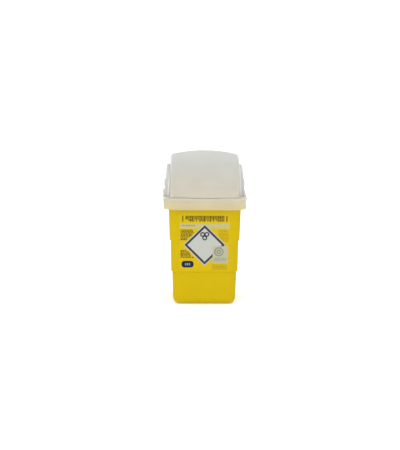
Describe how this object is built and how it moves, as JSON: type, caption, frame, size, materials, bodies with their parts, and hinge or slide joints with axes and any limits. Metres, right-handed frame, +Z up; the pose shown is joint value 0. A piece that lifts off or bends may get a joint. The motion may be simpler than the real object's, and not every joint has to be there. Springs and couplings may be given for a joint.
{
  "type": "sharps container",
  "caption": "Tall tapering yellow bin with a push-fit translucent lid whose arched hood turns back into a fixed rear housing.",
  "frame": {"origin": "centre of the bin's underside, where it stands", "axes": "+Z up, -Y towards the label side (the front), +X to the right seen from the front; the hood turns about a line along X"},
  "size_m": [0.1568, 0.1568, 0.2842],
  "materials": {
    "bin_plastic": "satin yellow moulded polypropylene",
    "lid_plastic": "translucent natural polypropylene",
    "hood_plastic": "translucent natural polypropylene",
    "pin_plastic": "natural moulded plastic",
    "label_film": "printed film in the bin's yellow",
    "pale_sticker": "pale printed sticker",
    "badge_print": "dark printed sticker"
  },
  "bodies": {
    "container": {"bin": "bin_plastic", "lid_collar": "lid_plastic", "rear_housing": "lid_plastic", "pivot_pin_left": "pin_plastic", "pivot_pin_right": "pin_plastic", "front_label": "label_film", "hazard_placard": "pale_sticker", "approval_sticker": "pale_sticker", "maker_badge": "badge_print"},
    "hood": {"turning_hood": "hood_plastic"}
  },
  "joints": [
    {"name": "hood_turn", "type": "hinge", "parent": "container", "child": "hood", "pos_m": [0, 0, 0.222], "axis": [-1, 0, 0], "range_deg": [0, 60]}
  ]
}
